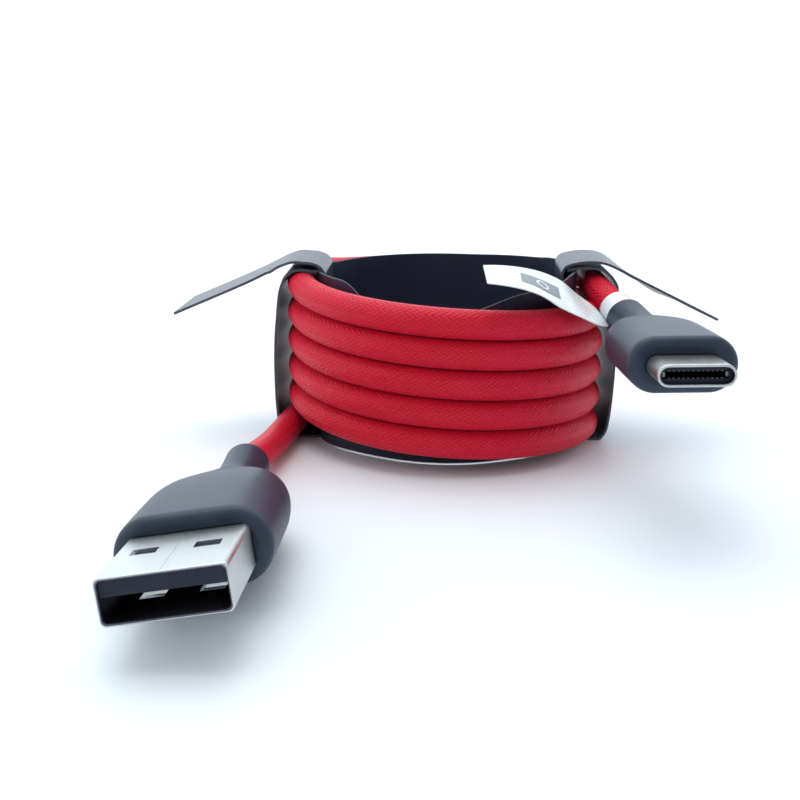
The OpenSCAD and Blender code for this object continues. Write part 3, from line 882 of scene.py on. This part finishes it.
def usb_c_shell():
    """A drawn oval tube, satin outside. Its lip is painted brighter as a highlight, and its inside
    painted dark as shade.
    """
    width, height = 8.25, 2.4
    count = 96
    rings = []

    def ring_at(y, inset):
        w, h = width - 2 * inset, height - 2 * inset
        rings.append((y, box_ring(w, h, h / 2 - 1e-4, count)))

    lip = lip_steps(18)
    for y, t in lip:
        ring_at(y, SHELL_WALL * 0.5 * t)
    outer_start = len(rings)
    for y in (0.5, 3, 6, 10):
        ring_at(y, 0)
    outer_end = len(rings) - 1
    for y in (10, 6, 3, 0.5):
        ring_at(y, SHELL_WALL)
    inner_end = len(rings)
    for y, t in reversed(lip[1:]):
        ring_at(y, SHELL_WALL * (1 - 0.5 * t))
    faces = []
    total = len(rings)
    for i in range(total):
        j = (i + 1) % total
        look = 1 if outer_start <= i < outer_end else 2 if outer_end <= i < inner_end else 0
        for k in range(count):
            m = (k + 1) % count
            faces.append(((i * count + k, i * count + m, j * count + m, j * count + k), look))
    # the lip's bright metal is a painted highlight, and the inside is painted shade
    looks = [NICKEL_AND_LIP_HIGHLIGHT, SATIN, SHADE_PAINTED_METAL]
    points = to_world(C, rings)
    piece = make_piece(
        "usb_c_metal_shell", points, faces, looks, ("usb_c_shell",)
    )
    return finish_mesh(piece, HARD_CREASE)


a_shell = usb_a_shell()
a_seam = usb_a_seam()
c_shell = usb_c_shell()


# ---------------------------------------------------------------- card collar, straps and tabs

CARD_T = 0.36
COLLAR_R = 18.5
COLLAR_SIDES = 240
# the collar's foot rises a little at the front, where it is also pinched inwards
FOOT_GAP, FOOT_LIFT, LIFT_RAMP = 0.02, 0.24, (5, 14)
FOOT_PINCH, PINCH_RAMP, PINCH_TOP = 1.7, (8, 17), 5
# height of the strip of painted light along the foot of the collar's outer face
FOOT_LIGHT_STRIP = 0.12
# the height of the collar's top edge against x
FRONT_EDGE = [
    (-20, 24.1), (-17, 24.1), (-14.4, 24.15), (-13.2, 23.95), (-12.4, 23.45), (-11.5, 22.7),
    (-10.6, 21.8), (-9.4, 21.15), (-3, 21.05), (3, 21.1), (4.9, 21.7), (7.1, 22.5),
    (8.4, 22.9), (9.9, 23.25), (12, 23.5), (14.3, 23.75), (15.6, 23.95), (16.6, 24.2),
    (17.3, 24.4), (20, 24.4),
]
BACK_EDGE = [
    (-20, 24.1), (-17.4, 24.1), (-16.8, 23.5), (-14, 23.38), (-4, 23.38), (4, 23.42),
    (8, 23.6), (11.4, 23.8), (14, 24.0), (16.2, 24.35), (20, 24.4),
]


def dense_edge(edge):
    """The same edge as a smooth curve with many points."""
    return [(p.x, p.y) for p in catmull([Vector((x, z, 0)) for x, z in edge], 8)]


def collar():
    """The card wall inside the coil, dark with grey cut edges. A pale strip along the foot of its
    outer face is painted light, standing in for the lit floor seen through the thin gap under the
    collar.
    """
    front, rear = dense_edge(FRONT_EDGE), dense_edge(BACK_EDGE)
    levels = [4, 8, 12, 16, 19]
    points, faces = [], []
    rows = len(levels) + 5
    for radius in (COLLAR_R, COLLAR_R - CARD_T):
        for k in range(COLLAR_SIDES):
            a = 2 * math.pi * k / COLLAR_SIDES
            x, y = radius * math.cos(a), radius * math.sin(a)
            top = read_table(front if y < 0 else rear, x)[0]
            foot = FOOT_GAP + FOOT_LIFT * eased(-y, *LIFT_RAMP)
            for z in [foot, foot + FOOT_LIGHT_STRIP, *levels, top - 0.6, top - 0.08, top]:
                low = max(0, 1 - z / PINCH_TOP)
                drawn_in = FOOT_PINCH / radius * eased(-y, *PINCH_RAMP) * low
                points.append(Vector((x * (1 - drawn_in), y * (1 - drawn_in), z)) * MM)
    half = COLLAR_SIDES * rows
    for k in range(COLLAR_SIDES):
        m = (k + 1) % COLLAR_SIDES
        for i in range(rows - 1):
            a, b = k * rows + i, m * rows + i
            # look 2, the lowest row of the outer face, is the strip of painted light at the foot
            faces.append(((a, b, b + 1, a + 1), 2 if i == 0 else 1 if i == rows - 2 else 0))
            a, b = half + k * rows + i, half + m * rows + i
            faces.append(((b, a, a + 1, b + 1), 1 if i == rows - 2 else 0))
        a, b = k * rows + rows - 1, m * rows + rows - 1
        faces.append(((a, b, half + b, half + a), 1))
        a, b = k * rows, m * rows
        faces.append(((b, a, half + a, half + b), 1))
    looks = [CARD, CARD_EDGE, PAINTED_FOOT_LIGHT]
    piece = make_piece("card_collar", points, faces, looks, ("collar_ring",))
    return finish_mesh(piece, HARD_CREASE)


def strap(name, profile, depths, replaced, move, body=ROOT, mirror=False):
    """A band of card: the profile in XZ, given thickness, between two depths. move(p, share, ahead)
    shifts a point of the middle face; share runs from 0 at the near edge to 1 at the far edge."""
    gap, cross = 0.45, 11
    near, far = depths
    line = resample(catmull([Vector((x, 0, z)) for x, z in profile], 5), gap)
    points = []
    for i, p in enumerate(line):
        ahead = direction_at(line, i)
        up = Vector((-ahead.z, 0, ahead.x))
        for sign in (1, -1):
            for k in range(cross):
                share = k / (cross - 1)
                q = p + up * sign * CARD_T / 2 + Vector((0, near + (far - near) * share, 0))
                q += move(p, share, ahead)
                points.append(Vector((-q.x if mirror else q.x, q.y, q.z)) * MM)
    faces = sheet_faces(len(line), cross, edge_look=1)
    piece = make_piece(name, points, faces, [CARD, CARD_EDGE], replaced, body)
    return finish_mesh(piece, HARD_CREASE)


# profiles of the bands in XZ, and their near and far edges in Y
LEFT_DEPTHS = (-5.5, 5.5)
RIGHT_DEPTHS = (-4, 7)
LEFT_STRAP = [
    (17.5, 24.25), (19, 24.6), (20.7, 24.65), (22.1, 24.15), (23.1, 22.9), (23.9, 20.5),
    (24.5, 16), (24.7, 11.4), (24.65, 7), (24.5, 4), (24.2, 2), (23.5, 0.6),
    (22.5, 0.2), (17.5, 0.2), (16.9, 0.7), (16.9, 4), (16.9, 12), (16.9, 20), (16.9, 23.7),
]
RIGHT_STRAP = [
    (16.9, 24.6), (18.5, 24.9), (20.5, 24.95), (22.3, 24.5), (23.6, 23.3), (24.2, 21.6),
    (24.5, 16), (24.5, 10.4), (24.3, 5.3), (23.9, 1.8), (23.2, 0.5),
    (22.3, 0.2), (16.8, 0.2), (16.25, 0.7), (16.25, 4), (16.25, 12), (16.25, 20), (16.25, 23.98),
]
LEFT_TAB = [
    (16.9, 23.8), (17.4, 24.65), (18.5, 25.15), (19.9, 25.3), (22.3, 25.1), (28, 22.3),
    (38.2, 17.8),
]
RIGHT_TAB = [
    (16.25, 24.2), (16.7, 25.1), (18.3, 25.6), (20.6, 25.8), (22.8, 25.4), (27, 23.4),
    (38.2, 18),
]


OUTER_RUN = (20.5, 23.6)
TAB_END = 38.2


def hug(p, share, ahead):
    """The outer run of a strap is drawn in towards the coil, most of all along its far edge."""
    outer = eased(p.x, *OUTER_RUN) * (1 - 0.6 * eased(p.z, 17, 22))
    return Vector((-(0.35 + 1.35 * share**1.3) * outer, 0, 0))


def left_hug(p, share, ahead):
    """On the left, the near edge is drawn in too, and the fold over the top is pressed down."""
    press = 0.4 * eased(p.z, 23.2, 24) * eased(p.x, 17.3, 18.5) * (1 - share) ** 2
    pull = 0.4 * eased(p.x, *OUTER_RUN) * (1 - share)
    return hug(p, share, ahead) - Vector((pull, 0, press))


def cut_aslant(p, share, ahead):
    """The end of a tab is cut a little short on its far side."""
    return -ahead * 0.8 * share * eased(p.x, TAB_END - 2.7, TAB_END)


def left_nick(p, share, ahead):
    """The left tab has a small torn nick in its near edge."""
    place, half_length, depth = 24.4, 0.7, 0.4
    nick = depth * max(0, 1 - abs(p.x - place) / half_length) * max(0, 1 - 6 * share)
    return cut_aslant(p, share, ahead) + Vector((0, nick, -0.5 * nick))


def right_twist(p, share, ahead):
    """The right tab twists along its length, and its far edge hangs lower than its near edge."""
    bulge = max(0, 1 - ((p.x - 30.9) / 2.4) ** 2)
    drop = 1.1 * eased(p.x, 22.5, 27.5) + 0.35 * bulge
    return cut_aslant(p, share, ahead) + Vector((0, 0, -drop * share))


collar()
strap("left_card_strap", LEFT_STRAP, LEFT_DEPTHS, ("left_strap",), left_hug, mirror=True)
strap("right_card_strap", RIGHT_STRAP, RIGHT_DEPTHS, ("right_strap",), hug)
strap("left_card_tab", LEFT_TAB, LEFT_DEPTHS, ("left_tab",), left_nick, "left_tab", mirror=True)
strap("right_card_tab", RIGHT_TAB, RIGHT_DEPTHS, ("right_tab",), right_twist, "right_tab")


# ---------------------------------------------------------------- label

LABEL = local_frame((23.6, -8.54, 20.01), pitch=18.5, roll=0, yaw=24)
FILM_T = 0.14
LOOP_R, LOOP_START = 2.24, 226
# the flag is an arc from the fold, whose slope eases from the first to the last angle
FOLD = -1.6
FLAG_R = 27.0
FLAG_STEPS = 64
FIRST_SLOPE, LAST_SLOPE = 48, 4
END_SKEW, SKEW_RAMP = 2.95, (14, 20.7)


def film_loop():
    """The film in its own XZ plane, once round the cord."""
    turns = [math.radians(LOOP_START - a) for a in range(345, -1, -15)]
    return [Vector((LOOP_R * math.cos(a), 0, LOOP_R * math.sin(a))) for a in turns]


def film_flag():
    """The film in the same plane, from the fold out along the flag."""
    first = math.radians(FIRST_SLOPE)
    line = []
    for k in range(1, FLAG_STEPS + 1):
        slope = math.radians(FIRST_SLOPE - (FIRST_SLOPE - LAST_SLOPE) * k / FLAG_STEPS)
        x = FOLD - FLAG_R * (math.sin(first) - math.sin(slope))
        z = FOLD + FLAG_R * (math.cos(slope) - math.cos(first))
        line.append(Vector((x, 0, z)))
    return line


# distance along the flag, half width and rise of the near edge, then of the far edge
FLAG_SHAPE = [
    (0, 1.1, 0, 1.1, 0),
    (2, 3.0, -0.6, 0.9, 0.05),
    (5, 4.05, -1.5, 2.55, -0.5),
    (8, 4.1, -1.95, 2.95, -0.3),
    (12, 3.95, -2.0, 3.1, -0.45),
    (16, 3.6, -0.95, 3.4, -0.85),
    (21.5, 3.45, 0.15, 3.9, -1.4),
]
FLAG_DENSE = [tuple(row) for row in catmull(FLAG_SHAPE, 6)]


def flag_width(run, share):
    """How far a point lies across the flag, and how far it hangs there. The film twists: its near
    edge hangs low in the middle of the flag, and its far edge at the end."""
    near, near_rise, far, far_rise = read_table(FLAG_DENSE, run)
    return Vector((0, -near + (far + near) * share, near_rise + (far_rise - near_rise) * share))


def flag_skew(run, share):
    """The cut end leans: the near edge is the longer one."""
    return END_SKEW * eased(run, *SKEW_RAMP) * (1 - share)


def label():
    """The film's loop round the cord and its flag, as one sheet."""
    cross = 7
    loop = film_loop()
    line = loop + film_flag()
    points = []
    run = 0.0
    for i, p in enumerate(line):
        ahead = direction_at(line, i)
        out = Vector((ahead.z, 0, -ahead.x))
        if i > len(loop):
            run += (p - line[i - 1]).length
        for sign in (1, -1):
            for k in range(cross):
                share = k / (cross - 1)
                q = p + out * sign * FILM_T / 2 + ahead * flag_skew(run, share)
                points.append(LABEL @ ((q + flag_width(run, share)) * MM))
    faces = sheet_faces(len(line), cross, edge_look=0)
    piece = make_piece("film_label", points, faces, [FILM], ("label",), "label")
    return finish_mesh(piece, 45)


def flag_point(run, share, lift):
    """A point on the flag's upper face: distance along it, share of its width, height above it."""
    line = [Vector((FOLD, 0, FOLD)), *film_flag()]
    left = run
    for a, b in zip(line, line[1:]):
        step = (b - a).length
        if left <= step:
            ahead = (b - a).normalized()
            out = Vector((-ahead.z, 0, ahead.x))
            if out.z < 0:
                out.negate()
            q = a + ahead * (left + flag_skew(run, share)) + out * lift
            return LABEL @ ((q + flag_width(run, share)) * MM)
        left -= step
    return LABEL @ (line[-1] * MM)


def label_print():
    """A plain grey patch with a ring, in place of the printed mark."""
    points, faces = [], []
    patch_lift, ring_lift = 0.085, 0.125
    steps, ring_sides = 16, 40
    ring_run, ring_share, flag_wide = 13.6, 0.515, 7.05
    for i in range(steps + 1):
        t = i / steps
        points.append(flag_point(16.7 - 5.4 * t, 0.35 - 0.06 * t, patch_lift))
        points.append(flag_point(16.1 - 5.75 * t, 0.75 - 0.08 * t, patch_lift))
    for a in range(0, 2 * steps, 2):
        faces.append(((a, a + 1, a + 3, a + 2), 0))
    base = len(points)
    for k in range(ring_sides):
        a = 2 * math.pi * k / ring_sides
        for radius in (0.9, 0.62):
            run = ring_run + radius * math.cos(a)
            share = ring_share + radius * math.sin(a) / flag_wide
            points.append(flag_point(run, share, ring_lift))
    for k in range(ring_sides):
        a, b = base + 2 * k, base + 2 * ((k + 1) % ring_sides)
        faces.append(((a, b, b + 1, a + 1), 1))
    return make_piece("label_patch", points, faces, [PATCH, FILM], (), "label")


film_label = label()
patch = label_print()


# ---------------------------------------------------------------- finishes on the CAD nodes

# the first word found in a node's name gives its finish
FINISHES = {
    # the USB-C contacts get the gold that is painted dark as shade
    "usb_c_upper_contacts": SHADE_PAINTED_GOLD,
    "usb_c_lower_contacts": SHADE_PAINTED_GOLD,
    "contact": GOLD,
    "insulator": TONGUE,
    "inner_mould": MILKY,
    "paddle_board": BOARD,
    "resistor": CHIP,
    "red_wire": WIRE["red"],
    "white_wire": WIRE["white"],
    "green_wire": WIRE["green"],
    "black_wire": WIRE["black"],
}

for name, node_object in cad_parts.items():
    if node_object.hide_render:
        continue
    finish = next((look for word, look in FINISHES.items() if word in name), TIN)
    for place in node_object.material_slots:
        place.material = finish


# ---------------------------------------------------------------- floor, light and world

# from here on, sizes are in metres
FLOOR_HALF = 3.0
FLAT_END, SWEEP_R, WALL_TOP = 0.5, 0.2, 1.2


def paper_sweep():
    """A sheet of pale paper that lies flat, then curves up behind the object into a wall."""
    curve = [math.radians(a) for a in range(0, 91, 9)]
    profile = [(-FLOOR_HALF, 0), (0, 0), (0.3, 0)]
    profile += [
        (FLAT_END + SWEEP_R * math.sin(a), SWEEP_R - SWEEP_R * math.cos(a)) for a in curve
    ]
    profile += [(FLAT_END + SWEEP_R, WALL_TOP)]
    mesh = bpy.data.meshes.new("floor")
    mesh.from_pydata(
        [(x, y, z) for y, z in profile for x in (-FLOOR_HALF, FLOOR_HALF)],
        [],
        [(2 * i, 2 * i + 1, 2 * i + 3, 2 * i + 2) for i in range(len(profile) - 1)],
    )
    for face in mesh.polygons:
        face.use_smooth = True
    return mesh


def paper():
    """White paper with faint clouding, and a glow that grows towards the back."""
    s = Shader("floor")
    where = s.place()
    depth = s.node("ShaderNodeSeparateXYZ")
    s.link(where, depth.inputs[0])
    cloud = s.noise(where, 0.02)
    s.set(
        Base_Color=s.mix(cloud, rgb(0.86, 0.91, 0.95), rgb(0.88, 0.925, 0.96)),
        Roughness=0.6,
        Emission_Color=rgb(0.87, 0.945, 1),
        Emission_Strength=s.span(depth.outputs["Y"], 120, 480, 0, 0.75),
    )
    return s.material


floor = add_to_scene("floor", paper_sweep())
floor.data.materials.append(paper())


def softbox(name, place, aim, size, power, tint=(1, 1, 1)):
    """A rectangular lamp, aimed at a point. Places and sizes are in metres, power in watts."""
    light = bpy.data.lights.new(name, "AREA")
    light.shape = "RECTANGLE"
    light.size, light.size_y = size
    light.energy = power
    light.color = tint
    lamp = add_to_scene(name, light)
    lamp.location = place
    lamp.rotation_mode = "QUATERNION"
    lamp.rotation_quaternion = (Vector(aim) - Vector(place)).to_track_quat("-Z", "Y")


softbox("top_light", (-0.12, 0.12, 0.7), (0, -0.02, 0), (0.7, 0.6), 2.8, (0.97, 0.99, 1))
softbox("left_light", (-0.7, -0.3, 0.45), (0, -0.02, 0.02), (0.5, 0.5), 0.9)
softbox("front_light", (0.35, -0.75, 0.5), (0, -0.02, 0.02), (0.5, 0.4), 0.35)

# the room is brighter towards +Y, behind the object
ROOM_TINT = rgb(0.89, 0.95, 1.0)
ROOM_BRIGHTNESS = (("From Min", -0.5), ("From Max", 0.5), ("To Min", 0.5), ("To Max", 1.15))

world = bpy.data.worlds.new("world")
SCENE.world = world
world.use_nodes = True
sky = world.node_tree
heading = sky.nodes.new("ShaderNodeTexCoord")
split = sky.nodes.new("ShaderNodeSeparateXYZ")
bright = sky.nodes.new("ShaderNodeMapRange")
sky.links.new(heading.outputs["Generated"], split.inputs[0])
sky.links.new(split.outputs["Y"], bright.inputs["Value"])
for socket, number in ROOM_BRIGHTNESS:
    bright.inputs[socket].default_value = number
background = sky.nodes["Background"]
background.inputs["Color"].default_value = ROOM_TINT
sky.links.new(bright.outputs["Result"], background.inputs["Strength"])
SCENE.view_settings.view_transform = "Standard"
